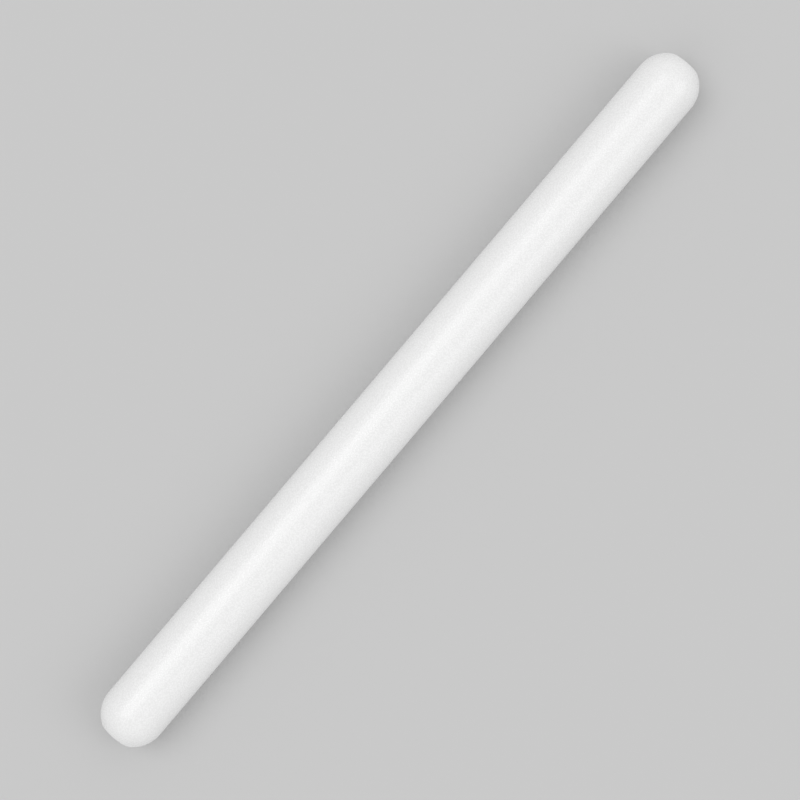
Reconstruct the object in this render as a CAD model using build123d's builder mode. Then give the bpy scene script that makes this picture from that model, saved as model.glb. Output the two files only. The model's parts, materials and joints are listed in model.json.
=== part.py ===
"""Clip-on bicycle spoke reflector.

One moulded piece: a round-ended tube that snaps sideways over a wheel spoke and shines light back.
A slit runs along its underside. It opens in a flared mouth, narrows to a throat that the spoke
clicks through, and ends in a round seat on the tube's own axis that grips the spoke.

The tube lies along X, with its origin on the seat's axis at half the length. The slit faces down,
towards -Z, so that the tube rests on the slit's two lips. All sizes are in millimetres.
"""

import os
from math import sqrt

from build123d import *

# The tube
tube_length = 75.0  # over both rounded ends
tube_diameter = 5.7  # outside
rim_radius = 0.35  # rounding of the rim where each domed end turns into the seat

# The spoke, and the slit that lets it in
spoke_diameter = 2.0  # plain 14 gauge wheel spoke
spoke_grip = 0.1  # the seat is this much narrower than the spoke, so the tube springs tight on it
spoke_snap = 0.6  # the throat is this much narrower than the spoke, so the spoke clicks in
mouth_flare = 0.4  # each flank of the slit leans out by this much between the throat and the mouth
slit_edge_radius = 0.2  # rounding of the lips, of the throat and of the slit's edges at the ends

# An edge of the slit that turns over a rim keeps its rounding inside the rim's own.
rim_share = 0.7
slit_edge_rounding = min(slit_edge_radius, rim_share * rim_radius)

tube_radius = tube_diameter / 2
seat_radius = (spoke_diameter - spoke_grip) / 2

# Each end is a dome as round as the tube. Its rim touches the dome from inside, stands on the seat
# and reaches out to the full length.
rim_centre_x = tube_length / 2 - rim_radius
dome_centre_x = rim_centre_x - sqrt((tube_radius - rim_radius) ** 2 - (seat_radius + rim_radius) ** 2)
dome_corner_x = dome_centre_x + sqrt(tube_radius**2 - seat_radius**2)

# The slit's flanks are straight from the throat's corners on the seat to the mouth's on the tube.
throat_half_width = (spoke_diameter - spoke_snap) / 2
mouth_half_width = throat_half_width + mouth_flare
throat_z = -sqrt(seat_radius**2 - throat_half_width**2)
mouth_z = -sqrt(tube_radius**2 - mouth_half_width**2)


def slit_half_width(z):
    """Half the distance between the slit's two flanks at height z."""
    return throat_half_width + mouth_flare * (throat_z - z) / (throat_z - mouth_z)


with BuildPart() as reflector_tube:
    # The wall's half section, from the middle of the tube to one domed end, spun round the axis
    with BuildSketch(Plane.XY) as wall:
        with BuildLine():
            dome_corner = (dome_corner_x, seat_radius)
            dome_start = (dome_centre_x, tube_radius)
            Polyline(dome_start, (0, tube_radius), (0, seat_radius), dome_corner)
            RadiusArc(dome_corner, dome_start, -tube_radius)
        make_face()
        fillet(wall.vertices().sort_by(Axis.X)[-1], rim_radius)
        mirror(about=Plane.YZ)
    revolve(axis=Axis.X)

    # The slit, from inside the seat to below the tube, cut past both ends
    with BuildSketch(Plane.YZ) as slit:
        with BuildLine():
            below_z = -tube_diameter
            Polyline(
                (slit_half_width(0), 0),
                (slit_half_width(below_z), below_z),
                (-slit_half_width(below_z), below_z),
                (-slit_half_width(0), 0),
                close=True,
            )
        make_face()
    extrude(amount=tube_length, both=True, mode=Mode.SUBTRACT)

    # The flanks are the tube's only flat faces. One rounding runs all the way round each of them:
    # along the lip, over the dome and the rim, and back along the throat.
    flanks = reflector_tube.faces().filter_by(GeomType.PLANE)
    fillet(flanks.edges(), slit_edge_rounding)

reflector_tube.part.label = "reflector_tube"

os.makedirs("parts", exist_ok=True)
export_step(reflector_tube.part, "parts/reflector_tube.step")
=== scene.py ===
"""Clip-on spoke reflector: a white tube with domed ends that snaps over a wheel spoke.

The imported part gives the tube's length, its width and its spoke seat. Its wall is drawn again here as
one fine mesh, with the same domes, rims, slit and rounded edges, and gets two finishes: a bead coat
that shines light back, wherever the wall faces outwards, and bare plastic where it faces the spoke.
"""

import json
import logging
from abc import ABC, abstractmethod
from collections import defaultdict
from collections.abc import Iterator, Mapping, Sequence
from dataclasses import dataclass
from enum import IntEnum
from functools import cached_property
from itertools import chain, pairwise
from math import asin, atan2, cos, pi, radians, sin, sqrt
from typing import Self

import bmesh
import bpy
from bmesh.types import BMesh, BMFace, BMLoopUV, BMVert
from bpy.types import Material, Node, NodeSocket, NodeTree, Object
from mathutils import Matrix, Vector


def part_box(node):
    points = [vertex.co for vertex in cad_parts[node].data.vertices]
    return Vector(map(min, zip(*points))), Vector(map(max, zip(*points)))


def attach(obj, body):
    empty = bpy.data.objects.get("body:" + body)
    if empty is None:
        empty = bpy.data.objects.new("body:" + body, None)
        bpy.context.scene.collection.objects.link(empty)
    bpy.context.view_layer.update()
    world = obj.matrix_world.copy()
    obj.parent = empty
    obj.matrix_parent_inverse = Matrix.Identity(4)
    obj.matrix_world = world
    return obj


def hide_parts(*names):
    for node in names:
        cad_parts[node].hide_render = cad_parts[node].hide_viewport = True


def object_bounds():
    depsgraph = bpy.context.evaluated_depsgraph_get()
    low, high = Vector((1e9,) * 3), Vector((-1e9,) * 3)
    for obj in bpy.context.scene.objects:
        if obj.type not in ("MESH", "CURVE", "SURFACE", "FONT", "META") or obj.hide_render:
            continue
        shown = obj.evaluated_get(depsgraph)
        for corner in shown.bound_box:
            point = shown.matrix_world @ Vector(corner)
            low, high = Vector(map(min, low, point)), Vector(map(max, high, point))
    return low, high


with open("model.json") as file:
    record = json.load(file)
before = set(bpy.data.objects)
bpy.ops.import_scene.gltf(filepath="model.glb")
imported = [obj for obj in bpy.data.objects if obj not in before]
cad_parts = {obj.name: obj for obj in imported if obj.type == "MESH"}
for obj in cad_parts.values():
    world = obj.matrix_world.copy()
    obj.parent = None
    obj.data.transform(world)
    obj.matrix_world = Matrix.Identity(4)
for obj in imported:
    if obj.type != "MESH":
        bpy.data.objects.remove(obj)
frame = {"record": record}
cad_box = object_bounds()

log = logging.getLogger("spoke_reflector")

MM = 0.001  # metres in a millimetre
TUBE_NODE = "reflector_tube"
TUBE_BODY = "root"
SEAT_MOUNT = "spoke_seat"
SKIN_MAP = "OFBake"  # the map that a picture of the finish is drawn on
NOISE_BAND = (0.3, 0.7)  # where nearly all of a noise's values lie

ALONG = Vector((1, 0, 0))
ACROSS = Vector((0, 1, 0))
AXIS = Vector((0, 0, 0))

Colour = tuple[float, float, float, float]
Direction = tuple[float, float, float]
Range = tuple[float, float]


def grey(tone: float) -> Colour:
    """Give the neutral colour of a tone."""
    return (tone, tone, tone, 1)


class Surface(IntEnum):
    """The tube's two kinds of surface, in the order of its material slots."""

    COATED = 0
    BARE = 1


class Strip(IntEnum):
    """The strips that each half of the tube's skin is laid out in."""

    OUTSIDE = 0
    SEAT = 1
    RIGHT_FLANK = 2
    LEFT_FLANK = 3


class Pen:
    """Draws one line through a mesh, vertex by vertex, with bmesh operators."""

    def __init__(self, mesh: BMesh, start: BMVert) -> None:
        """Put the pen down in a mesh, on the line's first vertex."""
        self.mesh = mesh
        self.line = [start]

    def run(self, end: Vector, steps: int) -> None:
        """Draw a straight stretch.

        Args:
            end: Where the stretch ends.
            steps: How many equal edges it has.
        """
        stride = (end - self.line[-1].co) / steps
        for _ in range(steps):
            grown = bmesh.ops.extrude_vert_indiv(self.mesh, verts=self.line[-1:])["verts"]
            bmesh.ops.translate(self.mesh, verts=grown, vec=stride)
            self.line += grown

    def turn(self, centre: Vector, axis: Vector, angle: float, steps: int) -> None:
        """Draw an arc.

        Args:
            centre: The point that the arc turns about.
            axis: The direction that the arc turns about, by the right-hand rule.
            angle: How far it turns, in radians.
            steps: How many equal edges it has.
        """
        # The operator puts the vertices that it makes after those that are there.
        drawn = len(self.mesh.verts)
        bmesh.ops.spin(
            self.mesh, geom=self.line[-1:], cent=centre, axis=axis, angle=angle, steps=steps
        )
        self.mesh.verts.ensure_lookup_table()
        self.line += self.mesh.verts[drawn:]


@dataclass(frozen=True)
class Wall:
    """The tube's wall, from its middle to one domed end.

    The dome is as round as the tube. The rim touches the dome from inside, stands on the seat and
    reaches out to the full length.
    """

    half_length: float
    radius: float
    seat_radius: float
    rim_radius: float = 0.35 * MM
    body_steps: int = 28
    dome_steps: int = 16
    rim_steps: int = 18

    @cached_property
    def rim_centre(self) -> Vector:
        """The middle of the rim's rounding, over the axis."""
        return Vector((self.half_length - self.rim_radius, 0, self.seat_radius + self.rim_radius))

    @cached_property
    def dome_centre(self) -> Vector:
        """The middle of the dome, on the axis."""
        reach = sqrt((self.radius - self.rim_radius) ** 2 - self.rim_centre.z**2)
        return Vector((self.rim_centre.x - reach, 0, 0))

    def draw(self, mesh: BMesh, depth: float = 0) -> list[BMVert]:
        """Draw the wall's outline over the axis: the outside, the dome, the rim and the seat.

        Args:
            mesh: The mesh that is drawn in.
            depth: How far inside the wall's skin the outline lies.

        Returns:
            The outline's vertices, in order.
        """
        outside = self.radius - depth
        inside = self.seat_radius + depth
        to_rim = self.rim_centre - self.dome_centre
        rim_lift = atan2(to_rim.z, to_rim.x)
        pen = Pen(mesh, mesh.verts.new((0, 0, outside)))
        pen.run(self.dome_centre + Vector((0, 0, outside)), self.body_steps)
        pen.turn(self.dome_centre, ACROSS, pi / 2 - rim_lift, self.dome_steps)
        pen.turn(self.rim_centre, ACROSS, pi / 2 + rim_lift, self.rim_steps)
        pen.run(Vector((0, 0, inside)), self.body_steps + self.dome_steps)
        return pen.line

    def outline_at(self, depth: float) -> list[Vector]:
        """Work out the places of the outline's vertices at a depth, on a spare mesh.

        Args:
            depth: How far inside the wall's skin the outline lies.

        Returns:
            The places, in order.
        """
        mesh = bmesh.new()
        places = [vert.co.copy() for vert in self.draw(mesh, depth)]
        mesh.free()
        return places


@dataclass(frozen=True)
class Slit:
    """The slit under the tube, between two flat flanks that lean apart towards its mouth."""

    wall: Wall
    throat_half_width: float = 0.7 * MM
    mouth_half_width: float = 1.1 * MM
    edge_radius: float = 0.2 * MM
    wall_steps: int = 48
    edge_steps: int = 8

    @cached_property
    def throat_depth(self) -> float:
        """How far below the axis the flanks meet the seat."""
        return sqrt(self.wall.seat_radius**2 - self.throat_half_width**2)

    @cached_property
    def lean(self) -> float:
        """How far each flank leans from upright, in radians."""
        mouth_depth = sqrt(self.wall.radius**2 - self.mouth_half_width**2)
        return atan2(self.mouth_half_width - self.throat_half_width, mouth_depth - self.throat_depth)

    @cached_property
    def into_wall(self) -> Vector:
        """The direction from the slit square through its right flank."""
        return Vector((0, cos(self.lean), sin(self.lean)))

    @cached_property
    def flank_distance(self) -> float:
        """How far the flank's plane passes from the axis."""
        return self.into_wall.dot(Vector((0, self.throat_half_width, -self.throat_depth)))

    def round_edge(self, pen: Pen, core: Vector) -> None:
        """Carry a line on from the top of the tube to the slit, and over the slit's rounded edge.

        Args:
            pen: The pen, on a vertex of the wall's outline over the axis.
            core: The place of that vertex at the edge's radius inside the wall. A ball of that
                radius, rolled round the axis with its middle at that depth, meets the flank where
                the edge's rounding starts.
        """
        over_slit = self.lean + asin((self.flank_distance + self.edge_radius) / core.z)
        pen.turn(AXIS, -ALONG, pi - over_slit, self.wall_steps)
        ball = Vector((core.x, core.z * sin(over_slit), -core.z * cos(over_slit)))
        from_wall = pen.line[-1].co - ball
        to_flank = -self.into_wall
        pen.turn(ball, from_wall.cross(to_flank), from_wall.angle(to_flank), self.edge_steps)


@dataclass(frozen=True)
class SkinMap:
    """Lays the tube's skin out flat, so that a picture of its finish shows all of it at one scale.

    The tube is cut across its middle. The outside and the seat of each half are unrolled round the
    axis, its flanks lie beside them, and all these strips are stacked on a square.
    """

    wall: Wall
    flank_turn: float = 0.7  # a face of a flank looks at least this much round the axis
    gap: float = 0.4 * MM  # between one strip and the next

    def strip_of(self, face: BMFace) -> Strip:
        """Tell which strip a face belongs to, by the way it faces.

        Args:
            face: The face.

        Returns:
            Its strip.
        """
        middle = face.calc_center_median()
        outwards = Vector((0, middle.y, middle.z)).normalized()
        if abs(face.normal.dot(ALONG.cross(outwards))) > self.flank_turn:
            return Strip.RIGHT_FLANK if middle.y > 0 else Strip.LEFT_FLANK
        return Strip.OUTSIDE if face.normal.dot(outwards) > 0 else Strip.SEAT

    def flat(self, place: Vector, strip: Strip) -> Vector:
        """Lay a place on the skin flat on its strip.

        Args:
            place: The place on the tube.
            strip: The strip.

        Returns:
            How far along and across the strip the place lies.
        """
        along = abs(place.x)
        from_axis = place.yz.length
        angle = atan2(place.y, place.z)
        match strip:
            case Strip.OUTSIDE:
                return Vector((along + self.wall.radius - from_axis, self.wall.radius * angle))
            case Strip.SEAT:
                return Vector((along + from_axis - self.wall.seat_radius, self.wall.seat_radius * angle))
            case _:
                return Vector((along, from_axis))

    def lay(self, mesh: BMesh) -> None:
        """Write the map on a mesh.

        Args:
            mesh: The tube's finished mesh.
        """
        layer = mesh.loops.layers.uv.new(SKIN_MAP)
        strips: dict[tuple[bool, Strip], list[tuple[BMLoopUV, Vector]]] = defaultdict(list)
        for face in mesh.faces:
            strip = self.strip_of(face)
            front = face.calc_center_median().x > 0
            strips[front, strip] += [(loop[layer], self.flat(loop.vert.co, strip)) for loop in face.loops]
        width = max(place.x for spots in strips.values() for _, place in spots) + self.gap
        height = 0.0
        for spots in strips.values():
            low = min(place.y for _, place in spots)
            for spot, place in spots:
                spot.uv = (place.x, height + place.y - low)
            height = max(spot.uv.y for spot, _ in spots) + self.gap
        for spot, _ in chain.from_iterable(strips.values()):
            spot.uv = (spot.uv.x / width, spot.uv.y / height)


class NodeBoard:
    """A node tree, cleared, with short ways to add nodes, set them and join them."""

    def __init__(self, tree: NodeTree) -> None:
        """Clear the tree."""
        self.tree = tree
        tree.nodes.clear()

    def add(self, kind: str, inputs: Mapping[str | int, object] | None = None, **settings: object) -> Node:
        """Add a node.

        Args:
            kind: The node's type, without the words that every shader node's type starts with.
            inputs: A number, a colour or another node's output for each input, by the input's name
                or, where several share one, by its place.
            settings: The node's properties, by name.

        Returns:
            The new node.
        """
        node = self.tree.nodes.new("ShaderNode" + kind)
        for name, value in settings.items():
            setattr(node, name, value)
        for key, value in (inputs or {}).items():
            if isinstance(value, NodeSocket):
                self.tree.links.new(value, node.inputs[key])
            else:
                node.inputs[key].default_value = value
        return node

    def spread(self, value: NodeSocket, seen: Range, wanted: Range) -> NodeSocket:
        """Ease a value from one range to another.

        Args:
            value: The value.
            seen: The range that it is taken from.
            wanted: The range that it is brought to.

        Returns:
            The eased value.
        """
        ranges = {"From Min": seen[0], "From Max": seen[1], "To Min": wanted[0], "To Max": wanted[1]}
        node = self.add("MapRange", {"Value": value, **ranges}, interpolation_type="SMOOTHSTEP")
        return node.outputs["Result"]

    def blend(self, share: NodeSocket, first: Colour, second: Colour) -> NodeSocket:
        """Mix two colours.

        Args:
            share: The second colour's share.
            first: The colour where the share is 0.
            second: The colour where the share is 1.

        Returns:
            The mixed colour.
        """
        # The node has sockets for each kind of value: the colours go in at places 6 and 7, and
        # their mix comes out at place 2.
        return self.add("Mix", {"Factor": share, 6: first, 7: second}, data_type="RGBA").outputs[2]


class Finish(ABC):
    """A surface's finish: a procedural material that follows the object's own coordinates."""

    name: str

    def material(self) -> Material:
        """Mix the finish.

        Returns:
            The new material.
        """
        material = bpy.data.materials.new(self.name)
        material.use_nodes = True
        board = NodeBoard(material.node_tree)
        places = board.add("TexCoord").outputs["Object"]
        board.add("OutputMaterial", {"Surface": self.shade(board, places)})
        return material

    @abstractmethod
    def shade(self, board: NodeBoard, places: NodeSocket) -> NodeSocket:
        """Build the finish's shader.

        Args:
            board: The material's board.
            places: The object's own coordinates.

        Returns:
            The shader.
        """


@dataclass(frozen=True)
class BeadCoat(Finish):
    """The reflective coat: fine glass beads packed in white binder, under a thin clear film."""

    name: str = "bead_coat"
    bead_colour: Colour = grey(0.94)
    binder_colour: Colour = grey(0.86)
    bead_size: float = 0.14 * MM  # from bead to bead
    bead_scatter: float = 0.8  # 0 packs the beads in a grid, and 1 strews them
    bead_slope: Range = (0.2, 0.75)  # from a bead's middle, in bead sizes
    bead_height: float = 0.035 * MM
    bead_relief: float = 0.25  # how strongly the height shows
    cloud_size: float = 5 * MM  # of the patches where the coat is rougher or smoother
    cloud_detail: float = 3
    roughness: Range = (0.26, 0.34)
    sparkle: float = 0.08  # how far a bead's own roughness strays from its patch's
    film: float = 0.25
    film_roughness: float = 0.25
    sheen: float = 0.6
    sheen_roughness: float = 0.4

    def shade(self, board: NodeBoard, places: NodeSocket) -> NodeSocket:
        """Build the coat's shader: round beads, each a little rougher or glossier than the next.

        Args:
            board: The material's board.
            places: The object's own coordinates.

        Returns:
            The shader.
        """
        packing = {"Vector": places, "Scale": 1 / self.bead_size, "Randomness": self.bead_scatter}
        beads = board.add("TexVoronoi", packing).outputs
        crown = board.spread(beads["Distance"], self.bead_slope, (1, 0))
        chance = board.add("SeparateColor", {"Color": beads["Color"]}).outputs["Red"]
        drift = {"Vector": places, "Scale": 1 / self.cloud_size, "Detail": self.cloud_detail}
        clouds = board.add("TexNoise", drift).outputs["Fac"]
        satin = board.spread(clouds, NOISE_BAND, self.roughness)
        glint = board.spread(chance, (0, 1), (-self.sparkle, self.sparkle))
        relief = {"Strength": self.bead_relief, "Distance": self.bead_height, "Height": crown}
        shader = board.add(
            "BsdfPrincipled",
            {
                "Base Color": board.blend(crown, self.binder_colour, self.bead_colour),
                "Roughness": board.add("Math", {0: satin, 1: glint}, operation="ADD").outputs["Value"],
                "Normal": board.add("Bump", relief).outputs["Normal"],
                "Coat Weight": self.film,
                "Coat Roughness": self.film_roughness,
                "Sheen Weight": self.sheen,
                "Sheen Roughness": self.sheen_roughness,
            },
        )
        return shader.outputs["BSDF"]


@dataclass(frozen=True)
class BarePlastic(Finish):
    """The moulded plastic where no coat covers it, with faint lines along its length."""

    name: str = "bare_plastic"
    colour: Colour = grey(0.825)
    line_width: float = 0.15 * MM
    line_length: float = 12 * MM
    line_height: float = 0.04 * MM
    line_relief: float = 0.1  # how strongly the height shows
    roughness: Range = (0.28, 0.4)

    def shade(self, board: NodeBoard, places: NodeSocket) -> NodeSocket:
        """Build the plastic's shader: drawn-out lines of gloss.

        Args:
            board: The material's board.
            places: The object's own coordinates.

        Returns:
            The shader.
        """
        squeeze = (self.line_width / self.line_length, 1, 1)
        drawn_out = board.add("Mapping", {"Vector": places, "Scale": squeeze}).outputs["Vector"]
        lines = board.add("TexNoise", {"Vector": drawn_out, "Scale": 1 / self.line_width}).outputs["Fac"]
        relief = {"Strength": self.line_relief, "Distance": self.line_height, "Height": lines}
        shader = board.add(
            "BsdfPrincipled",
            {
                "Base Color": self.colour,
                "Roughness": board.spread(lines, NOISE_BAND, self.roughness),
                "Normal": board.add("Bump", relief).outputs["Normal"],
            },
        )
        return shader.outputs["BSDF"]


@dataclass(frozen=True)
class FloorPaint(Finish):
    """The floor's plain pale paint."""

    name: str = "floor_paint"
    colour: Colour = grey(0.58)
    roughness: float = 0.8

    def shade(self, board: NodeBoard, places: NodeSocket) -> NodeSocket:
        """Build the paint's shader, which is the same all over."""
        shader = board.add("BsdfPrincipled", {"Base Color": self.colour, "Roughness": self.roughness})
        return shader.outputs["BSDF"]


def dressed(name: str, mesh: BMesh, finishes: Sequence[Finish]) -> Object:
    """Make a mesh an object of the scene, with its finishes on.

    Args:
        name: The object's name.
        mesh: The finished mesh, which is used up.
        finishes: The finishes, in the order of the material slots that the faces name.

    Returns:
        The new object.
    """
    data = bpy.data.meshes.new(name)
    mesh.to_mesh(data)
    mesh.free()
    for finish in finishes:
        data.materials.append(finish.material())
    piece = bpy.data.objects.new(name, data)
    bpy.context.scene.collection.objects.link(piece)
    return piece


@dataclass
class ReflectorTube:
    """The whole reflector: one tube with domed ends, a slit and a spoke seat."""

    slit: Slit
    coat: Finish = BeadCoat()
    plastic: Finish = BarePlastic()
    seam: float = 0.001 * MM  # vertices of two halves that lie this close are one

    @classmethod
    def from_frame(cls) -> Self:
        """Take the tube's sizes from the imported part.

        Returns:
            The tube, not built yet.
        """
        low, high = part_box(TUBE_NODE)
        seat = next(mount for mount in frame["record"]["mounts"] if mount["name"] == SEAT_MOUNT)
        wall = Wall(
            half_length=(high.x - low.x) / 2,
            radius=high.z,
            seat_radius=seat["dims"]["r_mm"] * MM,
        )
        return cls(Slit(wall))

    def rows(self, mesh: BMesh) -> Iterator[list[BMVert]]:
        """Draw the tube's right front quarter, row by row.

        Args:
            mesh: The mesh that is drawn in.

        Yields:
            Each row's vertices, from the top of the tube to the slit's right flank.
        """
        cores = self.slit.wall.outline_at(self.slit.edge_radius)
        for vert, core in zip(self.slit.wall.draw(mesh), cores, strict=True):
            pen = Pen(mesh, vert)
            self.slit.round_edge(pen, core)
            yield pen.line

    def shape(self) -> BMesh:
        """Model the tube.

        Returns:
            The closed mesh, with a surface for each of its faces.
        """
        mesh = bmesh.new()
        rows = list(self.rows(mesh))
        for row, following in pairwise(rows):
            rails = [mesh.edges.get(pair) for line in (row, following) for pair in pairwise(line)]
            bmesh.ops.bridge_loops(mesh, edges=rails)
        self.mirror(mesh, "X")
        self.fill_flank(mesh)
        self.mirror(mesh, "Y")
        bmesh.ops.recalc_face_normals(mesh, faces=mesh.faces)
        for face in mesh.faces:
            face.smooth = True
            face.material_index = self.surface_of(face)
        SkinMap(self.slit.wall).lay(mesh)
        return mesh

    def mirror(self, mesh: BMesh, axis: str) -> None:
        """Add the mesh's mirror image across the middle, and weld the two."""
        everything = [*mesh.verts, *mesh.edges, *mesh.faces]
        bmesh.ops.mirror(mesh, geom=everything, axis=axis, merge_dist=self.seam)

    def fill_flank(self, mesh: BMesh) -> None:
        """Close the slit's right flank with a grid between its lip and its throat.

        Args:
            mesh: The tube's right half, still open in the middle and at its flank.
        """
        # Each rail ends over the rim's middle, and the rest of the outline closes the grid's ends.
        reach = self.slit.wall.rim_centre.x + self.seam
        rails = [
            edge
            for edge in mesh.edges
            if edge.is_boundary
            and all(vert.co.y > self.seam and abs(vert.co.x) < reach for vert in edge.verts)
        ]
        bmesh.ops.grid_fill(mesh, edges=rails, use_interp_simple=True)

    def surface_of(self, face: BMFace) -> Surface:
        """Tell which surface a face belongs to: what looks away from the axis is coated.

        Args:
            face: The face.

        Returns:
            Its surface.
        """
        middle = face.calc_center_median()
        outwards = face.normal.dot(Vector((0, middle.y, middle.z)))
        return Surface.COATED if outwards > 0 else Surface.BARE

    def build(self) -> Object:
        """Make the tube, dressed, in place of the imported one.

        Returns:
            The finished piece.
        """
        tube = dressed("coated_tube", self.shape(), (self.coat, self.plastic))
        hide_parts(TUBE_NODE)
        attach(tube, TUBE_BODY)
        return tube


@dataclass(frozen=True)
class Lamp:
    """A wide lamp, so far away that its light comes from the same side everywhere."""

    name: str
    comes_from: Direction
    strength: float
    spread: float = radians(40)  # how wide the lamp looks from the tube

    def hang(self) -> None:
        """Hang the lamp."""
        light = bpy.data.lights.new(self.name, "SUN")
        light.angle = self.spread
        light.energy = self.strength
        lamp = bpy.data.objects.new(self.name, light)
        lamp.rotation_euler = Vector(self.comes_from).to_track_quat("Z", "Y").to_euler()
        bpy.context.scene.collection.objects.link(lamp)


@dataclass
class Studio:
    """A plain pale floor, even soft light and a camera straight above the tube."""

    floor_level: float
    floor_radius: float = 3.0
    floor_sides: int = 96
    floor_paint: Finish = FloorPaint()
    lamps: tuple[Lamp, ...] = (
        Lamp("far_lamp", comes_from=(-0.3, 1, 2.2), strength=0.7),
        Lamp("near_lamp", comes_from=(0.5, -1, 1.0), strength=0.4),
    )
    room_light: float = 0.71
    backdrop: float = 0.592
    tube_rise: float = radians(49.7)  # from the picture's bottom edge
    picture_width: float = 68.2 * MM  # at the height of the tube's axis
    lens: float = 100.0  # in millimetres
    nearest: float = 1 * MM  # what is nearer to the camera doesn't show

    def lay_floor(self) -> Object:
        """Lay the floor.

        Returns:
            The floor, which is no part of the tube.
        """
        mesh = bmesh.new()
        bmesh.ops.create_circle(mesh, cap_ends=True, radius=self.floor_radius, segments=self.floor_sides)
        bmesh.ops.translate(mesh, verts=mesh.verts, vec=(0, 0, self.floor_level))
        floor = dressed("floor", mesh, (self.floor_paint,))
        return floor

    def light_room(self) -> None:
        """Fill the room with even light, in front of a backdrop of the floor's own tone."""
        world = bpy.data.worlds.new("studio")
        world.use_nodes = True
        board = NodeBoard(world.node_tree)
        ray = board.add("LightPath").outputs
        seen = ray["Is Camera Ray"]
        for kind in ("Is Glossy Ray", "Is Transmission Ray"):
            seen = board.add("Math", {0: seen, 1: ray[kind]}, operation="MAXIMUM").outputs["Value"]
        tone = board.blend(seen, grey(self.room_light), grey(self.backdrop))
        background = board.add("Background", {"Color": tone})
        board.add("OutputWorld", {"Surface": background.outputs["Background"]})
        bpy.context.scene.world = world

    def hang_camera(self) -> None:
        """Hang the camera above the tube, turned so that the tube rises to the right."""
        lens = bpy.data.cameras.new("camera")
        lens.lens = self.lens
        lens.clip_start = self.nearest
        camera = bpy.data.objects.new("camera", lens)
        camera.location = (0, 0, self.picture_width * self.lens / lens.sensor_width)
        camera.rotation_euler = (0, 0, -self.tube_rise)
        bpy.context.scene.collection.objects.link(camera)
        bpy.context.scene.camera = camera
        bpy.context.scene.view_settings.view_transform = "Standard"

    def build(self) -> Object:
        """Set up the light, the camera and the floor.

        Returns:
            The floor.
        """
        for lamp in self.lamps:
            lamp.hang()
        self.light_room()
        self.hang_camera()
        return self.lay_floor()


def main() -> None:
    """Build the reflector and the studio around it, and log how many faces each piece has."""
    logging.basicConfig(level=logging.INFO, format="%(name)s: %(message)s")
    for part in (ReflectorTube.from_frame(), Studio(floor_level=cad_box[0].z)):
        piece = part.build()
        log.info("%s: %d faces", piece.name, len(piece.data.polygons))


if __name__ == "__main__":
    main()
